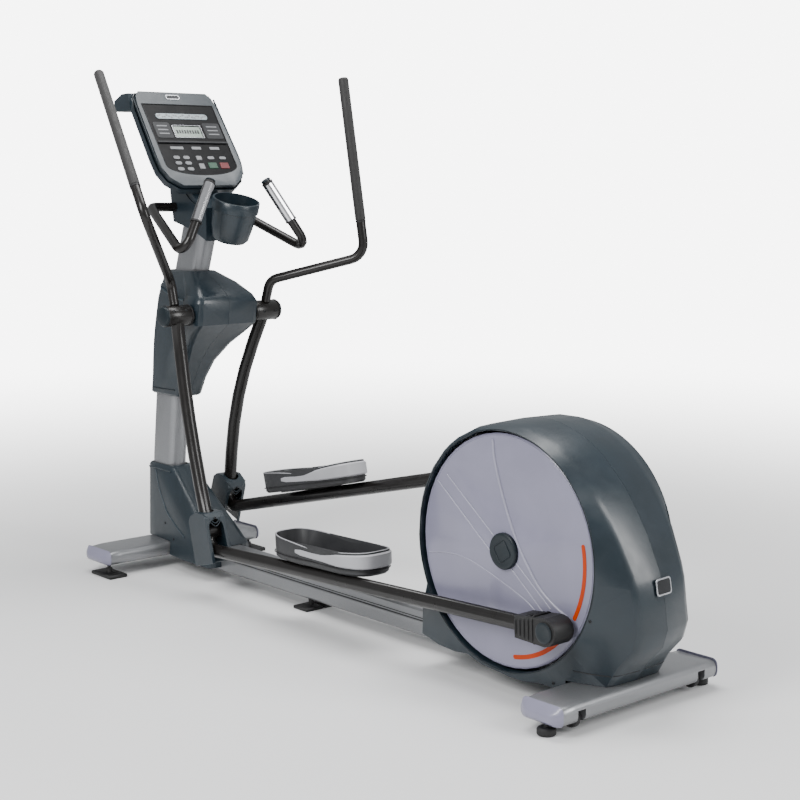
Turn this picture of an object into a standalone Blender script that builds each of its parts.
"""Rear-drive elliptical trainer, modelled as separate named pieces in metres.

+X points to the rear (the drive housing), -X to the console end, +Z up.
The user faces -X, so the left side of the machine is -Y.
"""
import math

import bmesh
import bpy
from mathutils import Matrix, Vector

# ---------------------------------------------------------------- driving sizes
GAP = 0.0003                      # air gap between pieces that touch
WALL = 0.003                      # wall of the moulded covers

PIVOT = Vector((-0.728, 0.0, 0.869))      # swing arm axle
CRANK = Vector((0.702, 0.0, 0.366))       # crank shaft
ARM_LENGTH = 0.684                        # axle to knuckle pin
CRANK_RADIUS = 0.265                      # crank shaft to crank pin
BAR_LENGTH = 1.475                        # knuckle pin to crank pin
LEFT_PIN_ANGLE = math.radians(-34.2)      # crank pin direction at rest, from +X to +Z
BAR_Y = 0.187                             # side distance of the crank pins' bearings
KNUCKLE_Y = 0.180                         # side distance of the knuckle pins

AXLE_R = 0.013
PIN_R = 0.008
SHAFT_R = 0.0125
CRANK_PIN_R = 0.010

RAIL_HALF_WIDTH = 0.040
RAIL_Z = (0.030, 0.108)
FRONT_BAR = dict(x=-1.024, half=0.075, z=(0.040, 0.087), reach=0.3126)
REAR_BAR = dict(x=0.983, half=0.067, z=(0.029, 0.078), reach=0.306)

FRONT_FOOT = (-0.989, 0.281)
REAR_FOOT = (0.995, 0.287)
CENTRE_FOOT = (-0.238, 0.036)
WHEEL = dict(x=1.016, y=0.224, z=0.032, radius=0.0225, half=0.010)

MAST_HALF = (0.0625, 0.035)
MAST_CORNER = 0.026
MAST_PATH = [(-1.048, 0.092), (-1.046, 0.35), (-1.0115, 0.6555), (-0.8225, 1.18)]
MAST_BEND = 0.45

HUB_R = 0.033
HUB_Y = (0.122, 0.222)
CROSS_TUBE_R = 0.025
CROSS_TUBE_Y = 0.1125

DISC_R = 0.301
DISC_FACE_Y = 0.136
OPENING_R = 0.308
HOUSING_SIDE_Y = 0.146

PULLEY_R = 0.115
SMALL_PULLEY_R = 0.0225
FLYWHEEL_AT = Vector((0.925, 0.0, 0.235))
FLYWHEEL_R = 0.115
BELT_Y = (0.0455, 0.0585)
BELT_THICKNESS = 0.003
IDLER_R = 0.018
PLATE_Y = (0.026, 0.034)

CONSOLE_AT = Vector((-0.888, 0.0, 1.4355))
CONSOLE_TILT = math.radians(35.13)        # lean of the face from the vertical
CUP_RIM = Vector((-0.633, 0.0, 1.232))
CUP_LEAN = math.radians(17.0)

SIDES = (("left", -1.0), ("right", 1.0))

# colour, roughness, metallic
FINISHES = {
    "shell": ((0.035, 0.055, 0.068), 0.38, 0.0),
    "silver": ((0.42, 0.44, 0.46), 0.40, 0.6),
    "lavender": ((0.44, 0.43, 0.50), 0.45, 0.1),
    "black_tube": ((0.030, 0.027, 0.025), 0.30, 0.2),
    "grip": ((0.025, 0.023, 0.022), 0.70, 0.0),
    "rubber": ((0.015, 0.015, 0.015), 0.80, 0.0),
    "dark_plastic": ((0.060, 0.060, 0.060), 0.55, 0.0),
    "black_gloss": ((0.012, 0.013, 0.015), 0.20, 0.0),
    "steel": ((0.50, 0.50, 0.52), 0.35, 1.0),
    "chrome": ((0.75, 0.75, 0.76), 0.12, 1.0),
    "cast_iron": ((0.12, 0.12, 0.13), 0.55, 0.8),
    "board": ((0.02, 0.14, 0.06), 0.50, 0.0),
    "screen": ((0.35, 0.45, 0.36), 0.25, 0.0),
    "green_key": ((0.02, 0.20, 0.08), 0.40, 0.0),
    "red_key": ((0.35, 0.02, 0.03), 0.40, 0.0),
}


# ---------------------------------------------------------------- scene helpers
def clear_scene():
    for obj in list(bpy.data.objects):
        bpy.data.objects.remove(obj, do_unlink=True)


def make_material(name, finish):
    colour, roughness, metallic = FINISHES[finish]
    material = bpy.data.materials.new(name)
    material.use_nodes = True
    shader = material.node_tree.nodes["Principled BSDF"]
    shader.inputs["Base Color"].default_value = (*colour, 1.0)
    shader.inputs["Roughness"].default_value = roughness
    shader.inputs["Metallic"].default_value = metallic
    return material


def make_frame(name, location, rotation_y=0.0, parent=None):
    """An empty whose Y axis is a joint axis."""
    frame = bpy.data.objects.new(name, None)
    frame.location = location
    frame.rotation_euler = (0.0, rotation_y, 0.0)
    frame.parent = parent
    bpy.context.scene.collection.objects.link(frame)
    return frame


def add_piece(name, bm, finish, frame=None, sharp=35.0, at=None):
    """Turn a bmesh into a named object; at sets its origin, frame its parent."""
    bmesh.ops.remove_doubles(bm, verts=bm.verts[:], dist=1e-6)
    bmesh.ops.recalc_face_normals(bm, faces=bm.faces[:])
    if at is not None:
        bmesh.ops.translate(bm, verts=bm.verts[:], vec=-Vector(at))
    mesh = bpy.data.meshes.new(name)
    bm.to_mesh(mesh)
    bm.free()
    mesh.materials.append(make_material(name + "_finish", finish))
    mesh.shade_smooth()
    mesh.set_sharp_from_angle(angle=math.radians(sharp))
    obj = bpy.data.objects.new(name, mesh)
    obj.parent = frame
    if at is not None:
        obj.location = at
    bpy.context.scene.collection.objects.link(obj)
    return obj


def as_work_object(bm):
    mesh = bpy.data.meshes.new("work")
    bm.to_mesh(mesh)
    bm.free()
    obj = bpy.data.objects.new("work", mesh)
    bpy.context.scene.collection.objects.link(obj)
    return obj


def modified(bm, kind, **settings):
    """Run one modifier on a bmesh and return the result as a new bmesh."""
    obj = as_work_object(bm)
    modifier = obj.modifiers.new(kind.title(), kind)
    for key, value in settings.items():
        setattr(modifier, key, value)
    bpy.context.view_layer.update()
    evaluated = obj.evaluated_get(bpy.context.evaluated_depsgraph_get())
    result = bmesh.new()
    result.from_mesh(evaluated.to_mesh())
    evaluated.to_mesh_clear()
    bpy.data.objects.remove(obj, do_unlink=True)
    return result


def combine(base, tool, operation):
    tool_object = as_work_object(tool)
    result = modified(base, "BOOLEAN", object=tool_object, operation=operation, solver="EXACT")
    bpy.data.objects.remove(tool_object, do_unlink=True)
    return result


def union(base, *tools):
    for tool in tools:
        base = combine(base, tool, "UNION")
    return base


def cut(base, *tools):
    for tool in tools:
        base = combine(base, tool, "DIFFERENCE")
    return base


# ---------------------------------------------------------------- shape helpers
def block(low, high, bevel=0.0, segments=1):
    bm = bmesh.new()
    bmesh.ops.create_cube(bm, size=1.0)
    low, high = Vector(low), Vector(high)
    for vert in bm.verts:
        vert.co = Vector([a + (c + 0.5) * (b - a) for a, b, c in zip(low, high, vert.co)])
    if bevel:
        bmesh.ops.bevel(bm, geom=bm.edges[:], offset=bevel, segments=segments,
                        profile=0.5, affect="EDGES")
    return bm


def loft(rows, closed=False):
    """Skin rings of equal length; closed joins the last ring to the first."""
    bm = bmesh.new()
    rings = [[bm.verts.new(point) for point in row] for row in rows]
    count = len(rings[0])
    pairs = list(zip(rings, rings[1:]))
    if closed:
        pairs.append((rings[-1], rings[0]))
    for lower, upper in pairs:
        for k in range(count):
            m = (k + 1) % count
            bm.faces.new((lower[k], lower[m], upper[m], upper[k]))
    if not closed:
        bm.faces.new(list(reversed(rings[0])))
        bm.faces.new(rings[-1])
    bmesh.ops.recalc_face_normals(bm, faces=bm.faces[:])
    return bm


def prism(outline, low, high, axis="Y"):
    """Extrude an outline: (x, z) along Y, (x, y) along Z or (y, z) along X."""
    place = {
        "Y": lambda a, b, c: (a, c, b),
        "Z": lambda a, b, c: (a, b, c),
        "X": lambda a, b, c: (c, a, b),
    }[axis]
    return loft([[place(a, b, c) for a, b in outline] for c in (low, high)])


def inset(outline, distance):
    """Move every side of a counter-clockwise or clockwise outline inwards."""
    points = [Vector(p) for p in outline]
    area = sum(p.x * q.y - q.x * p.y for p, q in zip(points, points[1:] + points[:1]))
    turn = 1.0 if area > 0 else -1.0
    moved = []
    for i, point in enumerate(points):
        before = (point - points[i - 1]).normalized()
        after = (points[(i + 1) % len(points)] - point).normalized()
        n1 = Vector((-before.y, before.x)) * turn
        n2 = Vector((-after.y, after.x)) * turn
        moved.append(point + (n1 + n2) * (distance / (1.0 + n1.dot(n2))))
    return [tuple(p) for p in moved]


def rounded_rectangle(half_a, half_b, radius, steps=3):
    corners = ((1, 1, 0), (-1, 1, 90), (-1, -1, 180), (1, -1, 270))
    points = []
    for sign_a, sign_b, start in corners:
        for k in range(steps + 1):
            angle = math.radians(start + 90.0 * k / steps)
            points.append((sign_a * (half_a - radius) + radius * math.cos(angle),
                           sign_b * (half_b - radius) + radius * math.sin(angle)))
    return points


def circle(radius, sides):
    return [(radius * math.cos(2 * math.pi * k / sides), radius * math.sin(2 * math.pi * k / sides))
            for k in range(sides)]


def sweep(path, profile, side=(0.0, 1.0, 0.0), scales=None):
    """Carry a profile (along the normal, along the side) down a path without twist."""
    path = [Vector(p) for p in path]
    scales = scales or [1.0] * len(path)
    side = Vector(side)
    rows = []
    for i, point in enumerate(path):
        tangent = (path[min(i + 1, len(path) - 1)] - path[max(i - 1, 0)]).normalized()
        side = (side - tangent * side.dot(tangent)).normalized()
        normal = side.cross(tangent)
        rows.append([point + (normal * a + side * b) * scales[i] for a, b in profile])
    return loft(rows)


def tube(path, radius, sides=12, side=(0.0, 1.0, 0.0)):
    return sweep(path, circle(radius, sides), side)


def rounded_path(points, radii, step=math.radians(15.0)):
    """Replace each inner corner of a path with an arc of its own radius."""
    points = [Vector(p) for p in points]
    path = [points[0]]
    for before, corner, after, radius in zip(points, points[1:], points[2:], radii):
        back = (before - corner).normalized()
        ahead = (after - corner).normalized()
        turn = math.pi - back.angle(ahead)
        reach = radius * math.tan(turn / 2)
        centre = corner + (back + ahead).normalized() * (radius / math.cos(turn / 2))
        first = corner + back * reach - centre
        last = corner + ahead * reach - centre
        count = max(2, round(turn / step))
        for k in range(count + 1):
            w = k / count
            path.append(centre + (first * math.sin((1 - w) * turn) + last * math.sin(w * turn))
                        / math.sin(turn))
    path.append(points[-1])
    return path


def turned(profile, origin, axis=(0.0, 1.0, 0.0), sides=32, ring=False):
    """Revolve (along, radius) points about an axis; ring closes a bored profile."""
    bm = bmesh.new()
    axis = Vector(axis).normalized()
    across = axis.orthogonal().normalized()
    up = axis.cross(across)
    rows = []
    for along, radius in profile:
        centre = Vector(origin) + axis * along
        if radius == 0.0:
            rows.append([bm.verts.new(centre)])
        else:
            rows.append([bm.verts.new(centre + across * a + up * b)
                         for a, b in circle(radius, sides)])
    pairs = list(zip(rows, rows[1:]))
    if ring:
        pairs.append((rows[-1], rows[0]))
    for lower, upper in pairs:
        for k in range(sides):
            m = (k + 1) % sides
            if len(lower) == 1:
                bm.faces.new((lower[0], upper[k], upper[m]))
            elif len(upper) == 1:
                bm.faces.new((lower[k], upper[0], lower[m]))
            else:
                bm.faces.new((lower[k], upper[k], upper[m], lower[m]))
    if not ring:
        for row in (rows[0], rows[-1]):
            if len(row) > 1:
                bm.faces.new(row)
    bmesh.ops.recalc_face_normals(bm, faces=bm.faces[:])
    return bm


def rod(origin, low, high, radius, sides=24, axis=(0.0, 1.0, 0.0)):
    return turned([(low, radius), (high, radius)], origin, axis, sides)


def washer(origin, low, high, bore, radius, sides=32, axis=(0.0, 1.0, 0.0)):
    return turned([(low, bore), (low, radius), (high, radius), (high, bore)],
                  origin, axis, sides, ring=True)


def shell_half(rows, side, closed=False):
    """An open surface on one side of Y = 0 from (x, side distance, z) rows."""
    bm = bmesh.new()
    grid = [[bm.verts.new((x, side * max(y, GAP), z)) for x, y, z in row] for row in rows]
    if closed:
        grid = [row + row[:1] for row in grid]
    for lower, upper in zip(grid, grid[1:]):
        for a, b, c, d in zip(lower, lower[1:], upper[1:], upper):
            bm.faces.new((a, b, c, d))
    return bm


def thickened(bm, outward_hint):
    """Give an open surface its wall on the side away from the hint direction."""
    bmesh.ops.recalc_face_normals(bm, faces=bm.faces[:])
    score = sum(f.normal.dot(outward_hint(f.calc_center_median())) * f.calc_area()
                for f in bm.faces)
    if score < 0:
        bmesh.ops.reverse_faces(bm, faces=bm.faces[:])
    result = modified(bm, "SOLIDIFY", thickness=WALL, offset=-1.0)
    for vert in result.verts:
        if abs(vert.co.y) < GAP:
            vert.co.y = math.copysign(GAP, vert.co.y)
    return result


# ---------------------------------------------------------------- linkage
def knuckle_and_pin(pin_angle):
    """Where a side's knuckle pin and crank pin are, from its crank pin's angle."""
    pin = CRANK + Vector((math.cos(pin_angle), 0.0, math.sin(pin_angle))) * CRANK_RADIUS
    line = PIVOT - pin
    along = (line.length_squared + BAR_LENGTH ** 2 - ARM_LENGTH ** 2) / (2 * line.length)
    across = math.sqrt(BAR_LENGTH ** 2 - along ** 2)
    direction = line.normalized()
    below = Vector((-direction.z, 0.0, direction.x))
    if below.z > 0:
        below = -below
    return pin + direction * along + below * across, pin


def side_frames(name, side):
    """Joint empties of one side: swing arm at the axle, foot bar at the knuckle."""
    angle = LEFT_PIN_ANGLE if side < 0 else LEFT_PIN_ANGLE + math.pi
    knuckle, pin = knuckle_and_pin(angle)
    lean = math.atan2(knuckle.x - PIVOT.x, PIVOT.z - knuckle.z)
    slope = math.atan2(pin.z - knuckle.z, pin.x - knuckle.x)
    return dict(arm=make_frame("arm_axis_" + name, PIVOT, -lean),
                bar=make_frame("bar_axis_" + name, knuckle, -slope),
                pin=pin)


# ---------------------------------------------------------------- base
def loaf(spec):
    """A stabiliser: a rounded beam across the machine with rounded ends."""
    low, high = spec["z"]
    reach, half = spec["reach"], spec["half"]
    steps = [(reach, 0.62 * half, 0.010, 0.022), (reach - 0.007, 0.90 * half, 0.003, 0.012),
             (reach - 0.025, half, 0.0, 0.004), (reach - 0.065, half, 0.0, 0.0)]
    rows = []
    for side in (-1.0, 1.0):
        ordered = steps if side < 0 else list(reversed(steps))
        for y, width, lift, drop in ordered:
            bottom, top = low + lift, high - drop
            ring = rounded_rectangle(width, (top - bottom) / 2, min(0.016, (top - bottom) * 0.42))
            rows.append([(spec["x"] + a, side * y, (top + bottom) / 2 + b) for a, b in ring])
    return loft(rows)


def build_base():
    rail = [(0.034, 0.030), (0.040, 0.036), (0.040, 0.072), (0.0365, 0.0755), (0.0365, 0.0805),
            (0.040, 0.084), (0.040, 0.102), (0.034, 0.108)]
    rail += [(-y, z) for y, z in reversed(rail)]
    front_end = FRONT_BAR["x"] + FRONT_BAR["half"] + GAP
    rear_end = REAR_BAR["x"] - REAR_BAR["half"] - GAP
    add_piece("base_rail", prism(rail, front_end, rear_end, "X"), "silver")

    front = loaf(FRONT_BAR)
    rear = loaf(REAR_BAR)
    for _, side in SIDES:
        front = cut(front, rod((FRONT_FOOT[0], side * FRONT_FOOT[1], 0), 0.030, 0.070, 0.0063,
                               16, (0, 0, 1)))
        rear = cut(rear, rod((REAR_FOOT[0], side * REAR_FOOT[1], 0), 0.020, 0.062, 0.0063, 16, (0, 0, 1)))
        y = side * WHEEL["y"]
        notch = block((WHEEL["x"] - 0.028, y - 0.0135, 0.010), (1.060, y + 0.0135, 0.0605))
        rear = cut(rear, notch)
        rear = union(rear, rod((WHEEL["x"], y, WHEEL["z"]), -0.016, 0.016, 0.004, 12))
    add_piece("front_stabiliser", front, "silver")
    add_piece("rear_stabiliser", rear, "silver")


def build_feet():
    for name, side in SIDES:
        x, y = FRONT_FOOT
        foot = block((x - 0.060, side * y - 0.034, 0.0), (x + 0.060, side * y + 0.034, 0.012),
                     0.003)
        foot = union(foot, rod((x, side * y, 0), 0.006, 0.026, 0.011, 16, (0, 0, 1)),
                     rod((x, side * y, 0), 0.020, 0.062, 0.006, 16, (0, 0, 1)))
        add_piece("front_foot_" + name, foot, "rubber", at=(x, side * y, 0.0))

        x, y = REAR_FOOT
        pad = turned([(0.0, 0.0), (0.0, 0.021), (0.003, 0.0235), (0.016, 0.0235),
                      (0.020, 0.019), (0.020, 0.006), (0.054, 0.006), (0.054, 0.0)],
                     (x, side * y, 0), (0, 0, 1), 16)
        add_piece("rear_foot_" + name, pad, "rubber", at=(x, side * y, 0.0))

        x, y = CENTRE_FOOT
        pad = union(block((x - 0.034, side * y - 0.032, 0.0), (x + 0.034, side * y + 0.032, 0.010),
                          0.002),
                    rod((x, side * 0.024, 0), 0.006, RAIL_Z[0] - GAP, 0.008, 12, (0, 0, 1)))
        add_piece("centre_foot_" + name, pad, "rubber", at=(x, side * y, 0.0))

        centre = (WHEEL["x"], side * WHEEL["y"], WHEEL["z"])
        half, radius = WHEEL["half"], WHEEL["radius"]
        wheel = turned([(-half, 0.0043), (-half, radius - 0.003), (-half + 0.003, radius),
                        (half - 0.003, radius), (half, radius - 0.003), (half, 0.0043)],
                       centre, sides=16, ring=True)
        add_piece("transport_wheel_" + name, wheel, "rubber", at=centre)


# ---------------------------------------------------------------- mast and its covers
def mast_path():
    corners = [(x, 0.0, z) for x, z in MAST_PATH]
    return rounded_path(corners, [0.3, MAST_BEND], math.radians(4.0))


def mast_sweep(extra=0.0, profile_extra=0.0):
    path = mast_path()
    path[-1] = path[-1] + (path[-1] - path[-2]).normalized() * extra
    profile = rounded_rectangle(MAST_HALF[0] + profile_extra, MAST_HALF[1] + profile_extra,
                                MAST_CORNER)
    return sweep(path, profile)


def build_mast():
    rail_top = RAIL_Z[1] + GAP
    foot = block((-1.092, -0.047, FRONT_BAR["z"][1] + GAP), (-0.951, 0.047, 0.0955))
    tail = block((-1.000, -0.036, rail_top), (-0.830, 0.036, rail_top + 0.008))
    gusset = prism([(-0.998, 0.112), (-0.840, 0.112), (-0.998, 0.270)], -0.004, 0.004)
    bracket = prism([(-0.985, 0.790), (PIVOT.x, PIVOT.z - 0.022), (PIVOT.x, PIVOT.z + 0.022),
                     (-0.930, 0.945)], -0.030, 0.030)
    hub = rod(PIVOT, -CROSS_TUBE_Y, CROSS_TUBE_Y, CROSS_TUBE_R, 20)
    mast = union(mast_sweep(), foot, tail, gusset, bracket, hub)
    mast = cut(mast, rod(PIVOT, -0.2, 0.2, AXLE_R + GAP, 20))
    add_piece("mast", mast, "silver")
    add_piece("arm_axle", rod(PIVOT, -0.2135, 0.2135, AXLE_R, 20), "steel", at=PIVOT)


def cover_row(front, rear, front_width, rear_width, z, shoulder=None):
    """One level of a mast cover: half outline from the front centre to the rear centre."""
    fw, rw = front_width, rear_width
    waist = shoulder or (front + 0.6 * (rear - front), front + 0.7 * (rear - front))
    round_f = min(0.028, fw * 0.5)
    round_r = min(0.020, rw * 0.4)
    points = [(front, 0.0), (front, fw - round_f), (front + 0.35 * round_f, fw - 0.35 * round_f),
              (front + round_f, fw), (waist[0], fw), (waist[1], rw), (rear - round_r, rw),
              (rear - 0.3 * round_r, rw - 0.3 * round_r), (rear, rw - round_r), (rear, 0.0)]
    return [(x, y, z) for x, y in points]


def build_boots():
    """The two half covers around the foot of the mast."""
    rear_slope = 0.270 / 0.226

    def rear_at(z):
        return -0.688 if z < 0.11 else -0.958 - (z - 0.336) * rear_slope

    rows = []
    for z in (0.045, 0.110, 0.150, 0.200, 0.250, 0.300, 0.331):
        t = (z - 0.045) / 0.291
        rear = rear_at(z)
        rows.append(cover_row(-1.118, rear, 0.058 - 0.010 * t, 0.085 - 0.037 * t, z,
                              (-1.060, max(-1.040, rear - 0.16))))
    rows.append(cover_row(-1.113, -0.966, 0.043, 0.043, 0.338, (-1.060, -1.040)))
    rows.append(cover_row(-1.1122, -0.979, 0.0387, 0.0387, 0.3385, (-1.060, -1.040)))
    bar_notch = block((-1.2, -0.2, 0.0), (FRONT_BAR["x"] + FRONT_BAR["half"] + 0.001, 0.2,
                                          FRONT_BAR["z"][1] + 0.001))
    rail_notch = block((-1.0, -RAIL_HALF_WIDTH - 0.001, 0.0),
                       (-0.6, RAIL_HALF_WIDTH + 0.001, RAIL_Z[1] + 0.001))
    for name, side in SIDES:
        surface = shell_half(rows, side)
        half = thickened(surface, lambda c: c - Vector((-0.95, 0.0, 0.15)))
        half = cut(half, bar_notch.copy(), rail_notch.copy())
        add_piece("boot_" + name, half, "shell")


def build_shrouds():
    """The two half covers over the swing arm axle."""
    levels = [  # z, front, rear, front width, rear width, waist
        (0.580, -1.0885, -0.915, 0.044, 0.046, (-1.000, -0.990)),
        (0.586, -1.0905, -0.911, 0.052, 0.052, (-1.000, -0.990)),
        (0.640, -1.081, -0.885, 0.054, 0.055, (-0.990, -0.960)),
        (0.700, -1.073, -0.848, 0.057, 0.066, (-0.970, -0.890)),
        (0.760, -1.063, -0.790, 0.059, 0.088, (-0.930, -0.845)),
        (0.805, -1.053, -0.730, 0.060, 0.110, (-0.890, -0.800)),
        (0.835, -1.046, -0.688, 0.060, 0.118, (-0.860, -0.775)),
        (0.905, -1.028, -0.678, 0.060, 0.118, (-0.845, -0.768)),
        (0.928, -1.019, -0.690, 0.059, 0.108, (-0.845, -0.768)),
        (0.965, -1.001, -0.745, 0.057, 0.084, (-0.860, -0.800)),
        (0.995, -0.984, -0.805, 0.054, 0.054, (-0.880, -0.860)),
        (1.000, -0.972, -0.812, 0.046, 0.046, (-0.880, -0.860)),
    ]
    rows = [cover_row(front, rear, fw, rw, z, waist)
            for z, front, rear, fw, rw, waist in levels]
    for name, side in SIDES:
        half = thickened(shell_half(rows, side), lambda c: c - Vector((-0.95, 0.0, 0.80)))
        half = cut(half, rod(PIVOT, side * 0.05, side * 0.2, CROSS_TUBE_R + 0.001, 20))
        add_piece("shroud_" + name, half, "shell")


NECK_REAR = -0.7265


def neck_outline():
    """Side view of the neck cover, running up to the console's back."""
    back = [console_point(0.0, v, -0.0385) for v in (-0.2028, -0.060)]
    return [(-0.914, 1.158), (-0.800, 1.132), (NECK_REAR, 1.100), (NECK_REAR, 1.205),
            (-0.770, 1.222), (back[0].x, back[0].z), (back[1].x, back[1].z),
            (-0.936, 1.330), (-0.930, 1.250)]


def build_neck():
    outline = neck_outline()
    neck = cut(prism(outline, -0.052, 0.052), mast_sweep(0.004, 0.0006),
               prism(inset(outline, WALL), -0.049, 0.049))
    neck = cut(neck, rod((HANDLE_EXIT_X, 0, HANDLE_EXIT_Z), -0.1, 0.1, HANDLE_R + GAP, 16))
    add_piece("neck_cover", neck, "shell")

    down = Vector((-math.sin(CUP_LEAN), 0.0, -math.cos(CUP_LEAN)))
    body = turned([(0.0, 0.0), (0.0, 0.0745), (0.036, 0.0735), (0.037, 0.0705), (0.085, 0.066),
                   (0.125, 0.058), (0.136, 0.048), (0.136, 0.0)], CUP_RIM, down, 20)
    hollow = turned([(-0.01, 0.0), (-0.01, 0.0700), (0.037, 0.0680), (0.085, 0.0625),
                     (0.120, 0.0550), (0.131, 0.045), (0.131, 0.0)], CUP_RIM, down, 20)
    lug = block((NECK_REAR + GAP, -0.030, 1.120), (-0.690, 0.030, 1.195))
    add_piece("cup_holder", cut(union(body, lug), hollow), "shell")


# ---------------------------------------------------------------- console
def console_axes():
    """Across, up the face and out of the face."""
    sine, cosine = math.sin(CONSOLE_TILT), math.cos(CONSOLE_TILT)
    return Vector((0, 1, 0)), Vector((-sine, 0, cosine)), Vector((cosine, 0, sine))


def console_point(u, v, w):
    across, up, out = console_axes()
    return CONSOLE_AT + across * u + up * v + out * w


def on_console(bm):
    """Move a shape drawn in (across, up, out) coordinates to the console."""
    across, up, out = console_axes()
    matrix = Matrix((across, up, out)).transposed().to_4x4()
    matrix.translation = CONSOLE_AT
    bmesh.ops.transform(bm, matrix=matrix, verts=bm.verts[:])
    return bm


def console_outline(grow=0.0):
    """Face outline: straight top and sides, corners cut into a narrower bottom."""
    right = [(0.100, -0.196), (0.140, -0.166), (0.156, -0.128), (0.158, -0.080),
             (0.152, 0.120), (0.146, 0.152), (0.130, 0.172)]
    left = [(-u, v) for u, v in reversed(right)]
    return inset(right + left, -grow) if grow else right + left


def panel_outline(grow=0.0):
    """The black face: a rectangle with a bowed lower edge."""
    bow = [(0.136 * math.sin(math.radians(a)), -0.118 - 0.038 * math.cos(math.radians(a)))
           for a in range(90, -91, -20)]
    points = [(0.137, 0.122)] + [(-0.137, 0.122)] + [(-u, v) for u, v in bow]
    return inset(points, -grow) if grow else points


KEYS = {  # centre across and up, half sizes, finish
    "start_key": (0.043, -0.1185, 0.0165, 0.0115, "green_key"),
    "stop_key": (0.0885, -0.1185, 0.0165, 0.0115, "red_key"),
    "level_up_key": (0.000, -0.0895, 0.0100, 0.0080, "steel"),
    "level_down_key": (0.000, -0.1215, 0.0100, 0.0105, "steel"),
}
KEY_TRAVEL = 0.001
LCD = (0.0, 0.0145, 0.0520, 0.0215)


def build_console():
    outline = console_outline()
    bezel = cut(prism(outline, -0.018, 0.0, "Z"), prism(panel_outline(GAP), -0.0075, 0.01, "Z"),
                prism(panel_outline(-0.006), -0.03, 0.01, "Z"))
    add_piece("console_bezel", on_console(bezel), "shell")

    back_outline = console_outline(0.006)
    hood = [(0.176, -0.0183), (0.196, -0.050), (0.205, -0.100), (0.176, -0.118), (0.120, -0.037)]
    hood_inside = inset(hood, WALL)
    back = union(prism(back_outline, -0.038, -0.0183, "Z"), prism(hood, -0.158, 0.158, "X"))
    back = cut(back, prism(inset(back_outline, WALL), -0.035, 0.0, "Z"),
               prism(hood_inside, -0.155, 0.155, "X"))
    add_piece("console_back", on_console(back), "shell")

    panel = prism(panel_outline(), -0.0070, -0.0010, "Z")
    u, v, half_u, half_v = LCD
    panel = cut(panel, block((u - half_u, v - half_v, -0.02), (u + half_u, v + half_v, 0.02)))
    for u, v, half_u, half_v, _ in KEYS.values():
        hole = block((u - half_u - GAP, v - half_v - GAP, -0.02),
                     (u + half_u + GAP, v + half_v + GAP, 0.02))
        panel = cut(panel, hole)
    add_piece("console_panel", on_console(panel), "black_gloss")

    for name, (u, v, half_u, half_v, finish) in KEYS.items():
        key = block((u - half_u, v - half_v, -0.0085), (u + half_u, v + half_v, 0.0010), 0.0012)
        flange = block((u - half_u - 0.002, v - half_v - 0.002, -0.0095),
                       (u + half_u + 0.002, v + half_v + 0.002, -0.0074))
        add_piece(name, on_console(union(key, flange)), finish, at=console_point(u, v, 0.0))

    u, v, half_u, half_v = LCD
    lcd = union(block((u - half_u + GAP, v - half_v + GAP, -0.008),
                      (u + half_u - GAP, v + half_v - GAP, -0.0022)),
                block((u - 0.060, v - 0.028, -0.0125), (u + 0.060, v + 0.028, -0.0074)))
    add_piece("lcd_module", on_console(lcd), "screen")
    board = block((-0.110, -0.110, -0.0180), (0.110, 0.090, -0.0164))
    add_piece("console_board", on_console(board), "board")


HANDLE_R = 0.015
HANDLE_EXIT_X, HANDLE_EXIT_Z = -0.905, 1.205


def build_static_handlebar():
    """One bent bar through the neck, with a sensor sleeve on each upper leg."""
    exit_point = (HANDLE_EXIT_X, 0.080, HANDLE_EXIT_Z)
    corner = (-0.896, 0.150, 1.206)
    low = (-0.566, 0.2446, 1.062)
    top = (-0.621, 0.105, 1.291)
    half = [exit_point, corner, low, top]
    mirrored = [(x, -y, z) for x, y, z in reversed(half)]
    radii = [0.032, 0.032, 0.20, 0.20, 0.032, 0.032]
    path = rounded_path(mirrored + half, radii, math.radians(24.0))
    add_piece("static_handlebar", tube(path, HANDLE_R, 10, (0.0, 0.0, 1.0)), "black_tube")
    for name, side in SIDES:
        start, end = Vector((low[0], side * low[1], low[2])), Vector((top[0], side * top[1], top[2]))
        axis = (end - start).normalized()
        length = (end - start).length
        sleeve = washer(start, 0.45 * length, 0.965 * length, HANDLE_R + GAP, HANDLE_R + 0.0028,
                        16, axis)
        add_piece("pulse_grip_" + name, sleeve, "chrome")


# ---------------------------------------------------------------- drive
HOUSING_OUTLINE = [  # angle about the crank shaft, radius, side distance, crown
    (98, 0.319, 0.128, 0.008), (80, 0.318, 0.120, 0.009), (60, 0.317, 0.118, 0.009),
    (41, 0.319, 0.115, 0.009), (26, 0.330, 0.112, 0.009), (14, 0.345, 0.109, 0.011),
    (4.5, 0.361, 0.105, 0.013), (-4.6, 0.384, 0.101, 0.016), (-12.5, 0.405, 0.098, 0.017),
    (-18.6, 0.424, 0.096, 0.015), (-25, 0.4290, 0.096, 0.015), (-34, 0.415, 0.097, 0.012),
    (-42.7, 0.424, 0.100, 0.010), (-54.2, 0.380, 0.132, 0.002), (-68, 0.338, 0.142, 0.0),
    (-90, 0.317, 0.145, 0.0), (-113, 0.321, 0.145, 0.0), (-137, 0.410, 0.145, 0.002),
]


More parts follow.
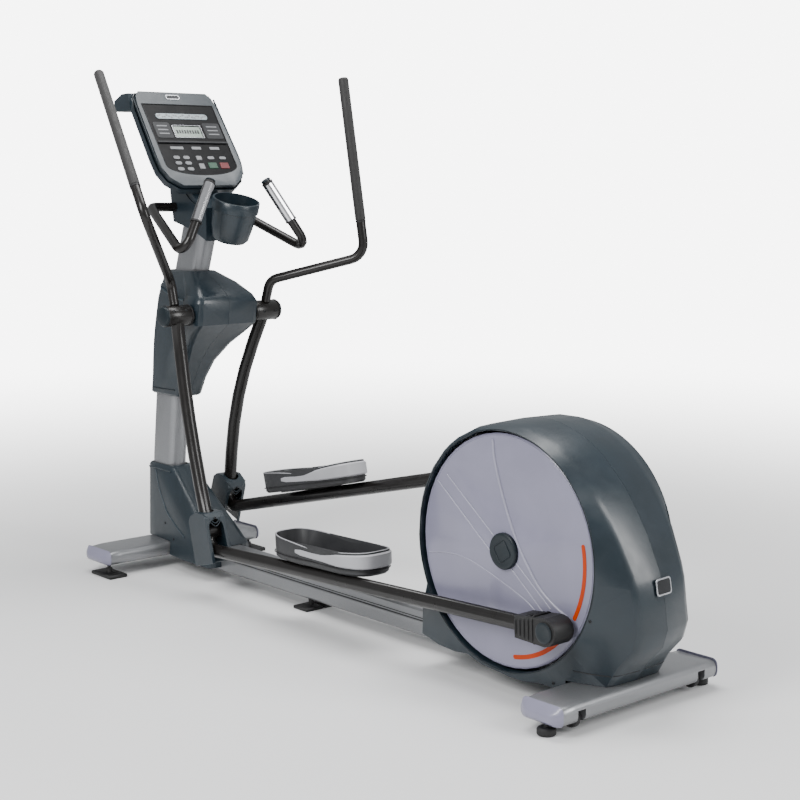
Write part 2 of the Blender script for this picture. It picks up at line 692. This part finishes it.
def build_housing():
    """Two half shells: side wall with the disc opening, and a crowned band."""
    front = [(angle, 0.319, 0.141, 0.008) for angle in range(110, 207, 12)]
    corners = sorted((math.radians(angle % 360), radius, y, crown)
                     for angle, radius, y, crown in HOUSING_OUTLINE + front)

    def between(angle):
        """Outline radius, side distance and crown at an angle, smoothly interpolated."""
        count = len(corners)
        for i in range(count):
            a0 = corners[i][0]
            a1 = corners[(i + 1) % count][0] + (2 * math.pi if i == count - 1 else 0.0)
            test = angle if angle >= corners[0][0] else angle + 2 * math.pi
            if a0 <= test <= a1:
                t = (test - a0) / (a1 - a0)
                lower, upper = corners[i], corners[(i + 1) % count]
                return [p + (q - p) * t for p, q in zip(lower[1:], upper[1:])]
        return list(corners[0][1:])

    steps = 42
    angles = sorted([2 * math.pi * k / steps for k in range(steps)])
    for corner in corners:
        nearest = min(range(len(angles)), key=lambda i: abs(angles[i] - corner[0]))
        angles[nearest] = corner[0]
    rings = [[] for _ in range(6)]
    for angle in angles:
        radius, y, crown = between(angle)
        cosine, sine = math.cos(angle), math.sin(angle)
        stations = [(OPENING_R, 0.124), (OPENING_R, 0.1445), (OPENING_R + 0.003, HOUSING_SIDE_Y),
                    (radius, y), (radius + 0.6 * crown, y - 0.020), (radius + crown, 0.0)]
        for ring, (r, side_y) in zip(rings, stations):
            ring.append((CRANK.x + r * cosine, side_y, CRANK.z + r * sine))
    rail_notch = block((0.3, -0.043, 0.0), (0.95, 0.043, RAIL_Z[1] + 0.002))
    bar_notch = block((REAR_BAR["x"] - 0.069, -0.3, 0.0), (1.2, 0.3, REAR_BAR["z"][1] + 0.0008))
    for name, side in SIDES:
        surface = shell_half(rings, side, closed=True)
        half = thickened(surface, lambda c, s=side: Vector((c.x - CRANK.x, s * 0.5, c.z - CRANK.z))
                         if abs(c.y) > 0.145 else Vector((c.x - CRANK.x, 0.0, c.z - CRANK.z)))
        half = cut(half, rail_notch.copy(), bar_notch.copy())
        add_piece("housing_" + name, half, "shell", sharp=40.0)


def build_drive():
    bb = washer(CRANK, -0.036, 0.036, SHAFT_R + GAP, 0.028, 16)
    plate_outline = [(0.620, RAIL_Z[1] + GAP), (0.800, RAIL_Z[1] + GAP), (0.938, 0.212),
                     (0.950, 0.240), (0.930, 0.258), (0.742, 0.395), (0.662, 0.395)]
    frame = bb
    for _, side in SIDES:
        low, high = sorted((side * PLATE_Y[0], side * PLATE_Y[1]))
        frame = union(frame, prism(plate_outline, low, high))
    frame = union(frame, block((0.620, -0.030, RAIL_Z[1] + GAP), (0.790, 0.030, 0.1165)))
    idler_at = idler_centre()
    frame = union(frame, rod(idler_at, 0.030, 0.064, 0.004, 12))
    frame = cut(frame, rod(CRANK, -0.1, 0.1, SHAFT_R + GAP, 16),
                rod(FLYWHEEL_AT, -0.1, 0.1, 0.006 + GAP, 12))
    add_piece("drive_frame", frame, "silver")

    arm_y = (0.0985, 0.1135)
    shaft = rod(CRANK, -arm_y[1], arm_y[1], SHAFT_R, 16)
    for name, side in SIDES:
        angle = LEFT_PIN_ANGLE if side < 0 else LEFT_PIN_ANGLE + math.pi
        low, high = sorted((side * arm_y[0], side * arm_y[1]))
        arm = [(-0.024, -0.022), (0.02, -0.024), (0.278, -0.017), (0.290, -0.006), (0.290, 0.006),
               (0.278, 0.017), (0.02, 0.024), (-0.024, 0.022)]
        c, s = math.cos(angle), math.sin(angle)
        placed = [(CRANK.x + a * c - b * s, CRANK.z + a * s + b * c) for a, b in arm]
        shaft = union(shaft, prism(placed, low, high))
        disc = turned([(side * 0.1138, 0.0), (side * 0.1138, 0.046), (side * 0.124, 0.050),
                       (side * 0.124, DISC_R), (side * 0.134, DISC_R),
                       (side * DISC_FACE_Y, DISC_R - 0.003), (side * DISC_FACE_Y, 0.047),
                       (side * 0.146, 0.028), (side * 0.146, 0.0)], CRANK, sides=48)
        add_piece("crank_disc_" + name, disc, "lavender", at=CRANK)
    add_piece("crank_shaft", shaft, "steel", at=CRANK)

    pulley = turned([(0.040, SHAFT_R + GAP), (0.040, 0.030), (0.049, 0.034), (0.044, 0.102),
                     (0.044, PULLEY_R), (0.060, PULLEY_R), (0.060, 0.102), (0.055, 0.034),
                     (0.062, 0.030), (0.062, SHAFT_R + GAP)], CRANK, sides=24, ring=True)
    add_piece("crank_pulley", pulley, "dark_plastic", at=CRANK)

    flywheel = turned([(-0.022, 0.0063), (-0.022, 0.024), (-0.008, 0.028), (-0.018, 0.093),
                       (-0.018, FLYWHEEL_R), (0.018, FLYWHEEL_R), (0.018, 0.093), (0.008, 0.028),
                       (0.022, 0.024), (0.022, 0.0063)], FLYWHEEL_AT, sides=24, ring=True)
    add_piece("flywheel", flywheel, "cast_iron", at=FLYWHEEL_AT)
    add_piece("flywheel_axle", rod(FLYWHEEL_AT, -0.044, 0.068, 0.006, 12), "steel",
              at=FLYWHEEL_AT)
    small = turned([(0.040, 0.0063), (0.040, 0.0255), (0.0435, 0.0255), (0.0435, SMALL_PULLEY_R),
                    (0.0605, SMALL_PULLEY_R), (0.0605, 0.0255), (0.064, 0.0255), (0.064, 0.0063)],
                   FLYWHEEL_AT, sides=16, ring=True)
    add_piece("flywheel_pulley", small, "steel", at=FLYWHEEL_AT)

    inner = belt_loop(GAP)
    outer = belt_loop(GAP + BELT_THICKNESS)
    rows = [[(x, y, z) for x, z in loop] for loop, y in
            ((inner, BELT_Y[0]), (outer, BELT_Y[0]), (outer, BELT_Y[1]), (inner, BELT_Y[1]))]
    add_piece("drive_belt", loft(rows, closed=True), "rubber")
    idler = washer(idler_at, 0.0435, 0.0615, 0.0043, IDLER_R, 16)
    add_piece("idler_pulley", idler, "dark_plastic", at=idler_at)

    middle = math.radians(147.0)
    spread = math.radians(24.0)
    arc = [(FLYWHEEL_AT.x + r * math.cos(a), FLYWHEEL_AT.z + r * math.sin(a))
           for r, turn in ((0.118, 1), (0.132, -1))
           for a in [middle + turn * spread * (k / 3 - 1) for k in range(7)]]
    add_piece("brake_magnet", prism(arc, -PLATE_Y[0] + GAP, PLATE_Y[0] - GAP), "cast_iron")


def belt_angles():
    run = FLYWHEEL_AT - CRANK
    heading = math.atan2(run.z, run.x)
    return heading, math.acos((PULLEY_R - SMALL_PULLEY_R) / run.length)


def belt_loop(offset, steps=20):
    """The belt's line at an offset from both pulleys, as (x, z) points."""
    heading, wrap = belt_angles()
    points = []
    turn = (2 * math.pi - 2 * wrap) / steps
    radius = (PULLEY_R + offset) / math.cos(turn / 2)
    for k in range(steps + 1):
        a = heading + wrap + turn * k
        points.append((CRANK.x + radius * math.cos(a), CRANK.z + radius * math.sin(a)))
    for k in range(steps // 2 + 1):
        a = heading - wrap + 2 * wrap * k / (steps // 2)
        points.append((FLYWHEEL_AT.x + (SMALL_PULLEY_R + offset) * math.cos(a),
                       FLYWHEEL_AT.z + (SMALL_PULLEY_R + offset) * math.sin(a)))
    return points


def idler_centre():
    """The idler presses on the middle of the belt's lower run from outside."""
    heading, wrap = belt_angles()
    normal = Vector((math.cos(heading - wrap), 0.0, math.sin(heading - wrap)))
    start = CRANK + normal * PULLEY_R
    end = FLYWHEEL_AT + normal * SMALL_PULLEY_R
    clear = BELT_THICKNESS + 2 * GAP + IDLER_R
    return (start + end) / 2 + normal * clear


# ---------------------------------------------------------------- moving sides
def build_arm(name, side, frame):
    """Swing arm, handlebar and knuckle, drawn with the arm hanging straight down."""
    hub_y0, hub_y1 = HUB_Y
    hub = turned([(side * 0.2142, 0.0), (side * 0.2142, AXLE_R + GAP), (side * hub_y0, AXLE_R + GAP),
                  (side * hub_y0, HUB_R - 0.001), (side * (hub_y0 + 0.002), HUB_R),
                  (side * (hub_y1 - 0.012), HUB_R), (side * (hub_y1 - 0.004), HUB_R - 0.005),
                  (side * hub_y1, 0.018), (side * hub_y1, 0.0)], (0, 0, 0), sides=20)
    y0 = 0.170
    path = [(0.0, side * y0, -0.020)]
    lowest = -ARM_LENGTH + 0.044
    for k in range(1, 7):
        t = k / 6
        bow = math.sin(math.pi * t)
        path.append((-0.030 * bow, side * (y0 + (KNUCKLE_Y - y0) * t - 0.010 * bow),
                     -0.020 + (lowest + 0.020) * t))
    arm = union(hub, tube(path, 0.021, 12))
    yk = side * KNUCKLE_Y
    bottom = -ARM_LENGTH
    arm = union(arm, block((-0.021, yk - 0.033, bottom + 0.032), (0.021, yk + 0.033, bottom + 0.050),
                           0.003))
    for cheek in (-1.0, 1.0):
        low, high = sorted((yk + cheek * 0.0255, yk + cheek * 0.033))
        arm = union(arm, block((-0.019, low, bottom - 0.020), (0.019, high, bottom + 0.040)))
    arm = cut(arm, rod((0.0, yk, bottom), -0.1, 0.1, PIN_R + GAP, 16),
              rod((0, 0, 0), side * 0.10, side * 0.2142, AXLE_R + GAP, 20))
    add_piece("swing_arm_" + name, arm, "black_tube", frame)

    grip_share = 0.80
    base = Vector((0.0, side * y0, HUB_R + 0.0005))
    stub = Vector((0.0, side * y0, 0.107))
    low_bend = Vector((0.211, side * 0.361, 0.271))
    tip = Vector((-0.014, side * 0.3005, 0.787))
    seam = tip + (low_bend - tip) * grip_share
    path = rounded_path([base, stub, low_bend, seam], [0.045, 0.055], math.radians(14.0))
    add_piece("handlebar_" + name, tube(path, 0.0155, 12, (side, 0.3, 0.0)), "black_tube", frame)
    grip = turned([(0.0, 0.0), (0.0, 0.013), (0.004, 0.0170),
                   ((tip - seam).length - 0.008, 0.0165), ((tip - seam).length - 0.002, 0.0135),
                   ((tip - seam).length, 0.006), ((tip - seam).length, 0.0)],
                  seam + (tip - seam).normalized() * GAP, (tip - seam), 14)
    add_piece("handlebar_grip_" + name, grip, "grip", frame)

    half_y, wall = 0.0375, 0.003
    section = [(-0.047, -0.100), (-0.047, 0.040), (-0.034, 0.056), (0.0, 0.066), (0.034, 0.056),
               (0.045, 0.040), (0.052, -0.100)]
    section = [(x, bottom + z) for x, z in section]
    hollow = inset(section, wall)
    hollow[0] = (hollow[0][0], bottom - 0.12)
    hollow[-1] = (hollow[-1][0], bottom - 0.12)
    cover = cut(prism(section, yk - half_y, yk + half_y),
                prism(hollow, yk - half_y + wall, yk + half_y - wall),
                tube([(0, yk, bottom + 0.03), (0, yk, bottom + 0.10)], 0.0258, 20))
    arch = [(-0.0265, -0.115), (0.0265, -0.115)]
    arch += [(0.0265 * math.cos(math.radians(a)), 0.0085 + 0.0265 * math.sin(math.radians(a)))
             for a in range(0, 181, 30)]
    arch = [(yk + a, bottom + z) for a, z in arch]
    cover = cut(cover, prism(arch, 0.030, 0.070, "X"))
    add_piece("knuckle_cover_" + name, cover, "shell", frame)
    add_piece("knuckle_pin_" + name, rod((0.0, yk, bottom), -0.0325, 0.0325, PIN_R, 16), "steel",
              frame)


def pedal_ring(length, width, shrink, height):
    """A foot-shaped loop: round toe and heel with a slight waist."""
    points = []
    for k in range(28):
        a = 2 * math.pi * k / 28
        c, s = math.cos(a), math.sin(a)
        x = length * math.copysign(abs(c) ** 0.60, c)
        waist = 1.0 - 0.08 * math.exp(-((x / length - 0.15) / 0.30) ** 2)
        y = width * waist * math.copysign(abs(s) ** 0.60, s)
        inward = 1.0 - shrink / length
        points.append((x * inward, y * (1.0 - shrink / width), height(x / length)))
    return points


def build_bar(name, side, frame):
    """Foot bar, its rear boot and the pedal, drawn with the bar's pins along +X."""
    y, front_y = side * BAR_Y, side * KNUCKLE_Y
    drop = -0.0565
    slope = -drop / BAR_LENGTH
    end_x = BAR_LENGTH - 0.020
    path = rounded_path([(0.0, front_y, 0.0), (0.0, front_y, drop),
                         (end_x, y, drop + slope * end_x)], [0.042], math.radians(18.0))
    bar = union(tube(path, 0.0205, 12), rod((0, front_y, 0), -0.0245, 0.0245, 0.0235, 16),
                rod((BAR_LENGTH, y, 0), side * -0.0220, side * 0.0215, 0.025, 16),
                rod((BAR_LENGTH, y, 0), side * -0.0380, side * 0.0, CRANK_PIN_R, 12))
    bar = cut(bar, rod((0, front_y, 0), -0.1, 0.1, PIN_R + GAP, 16))
    add_piece("foot_bar_" + name, bar, "black_tube", frame)

    def stadium(radius, front, rear):
        points = [(rear + radius * math.cos(math.radians(a)), radius * math.sin(math.radians(a)))
                  for a in range(-90, 91, 30)]
        return points + [(front, 0.80 * radius), (front, -0.80 * radius)]

    turn = Matrix.Rotation(-slope, 4, "Y")
    centre = Vector((BAR_LENGTH, y, 0.0))

    def along_bar(bm):
        bmesh.ops.transform(bm, matrix=Matrix.Translation(centre) @ turn, verts=bm.verts[:])
        return bm

    outside = along_bar(prism(stadium(0.035, -0.100, 0.0), -0.034, 0.034))
    outside = union(outside, along_bar(rod((0, 0, 0), 0.0, side * 0.0365, 0.0268, 20)))
    inside = along_bar(prism(stadium(0.030, -0.095, 0.0), -0.0295, 0.0295))
    mouth = along_bar(rod((0, 0, 0), -0.16, -0.05, 0.0215, 16, (1, 0, 0)))
    pin_hole = along_bar(rod((0, 0, 0), side * -0.05, side * 0.0, CRANK_PIN_R + 0.001, 16))
    boot = cut(outside, mouth, pin_hole, inside)
    add_piece("crank_boot_" + name, boot, "dark_plastic", frame)

    pedal_x, pedal_y = 0.555, side * 0.136
    pitch = Matrix.Rotation(-0.020, 4, "Y")
    bar_top = drop + slope * pedal_x + 0.0205
    floor = bar_top + 0.006
    place = Matrix.Translation((pedal_x, pedal_y, floor)) @ pitch

    def rim(s):
        return 0.060 + 0.008 * s * s - 0.010 * math.exp(-((s - 0.15) / 0.35) ** 2)

    half_length, half_width = 0.215, 0.080
    outer = loft([pedal_ring(half_length, half_width, 0.008, lambda s: 0.0),
                  pedal_ring(half_length, half_width, 0.002, lambda s: 0.006),
                  pedal_ring(half_length, half_width, 0.0, rim)])
    hollow = loft([pedal_ring(half_length, half_width, 0.011, lambda s: 0.012),
                   pedal_ring(half_length, half_width, 0.0045, lambda s: 0.080)])
    tray = cut(outer, hollow)
    bmesh.ops.transform(tray, matrix=place, verts=tray.verts[:])
    for low, high in ((-0.085, -0.055), (0.045, 0.075)):
        inner, outer_y = sorted((side * (BAR_Y - 0.036), side * (BAR_Y + 0.004)))
        x0, x1 = pedal_x + low, pedal_x + high
        foot = bar_top + GAP + slope * high
        tray = union(tray, block((x0, inner, foot), (x1, outer_y, floor + 0.006)))
    add_piece("pedal_" + name, tray, "dark_plastic", frame)


def main():
    clear_scene()
    build_base()
    build_feet()
    build_mast()
    build_boots()
    build_shrouds()
    build_neck()
    build_console()
    build_static_handlebar()
    build_housing()
    build_drive()
    for name, side in SIDES:
        frames = side_frames(name, side)
        build_arm(name, side, frames["arm"])
        build_bar(name, side, frames["bar"])


main()
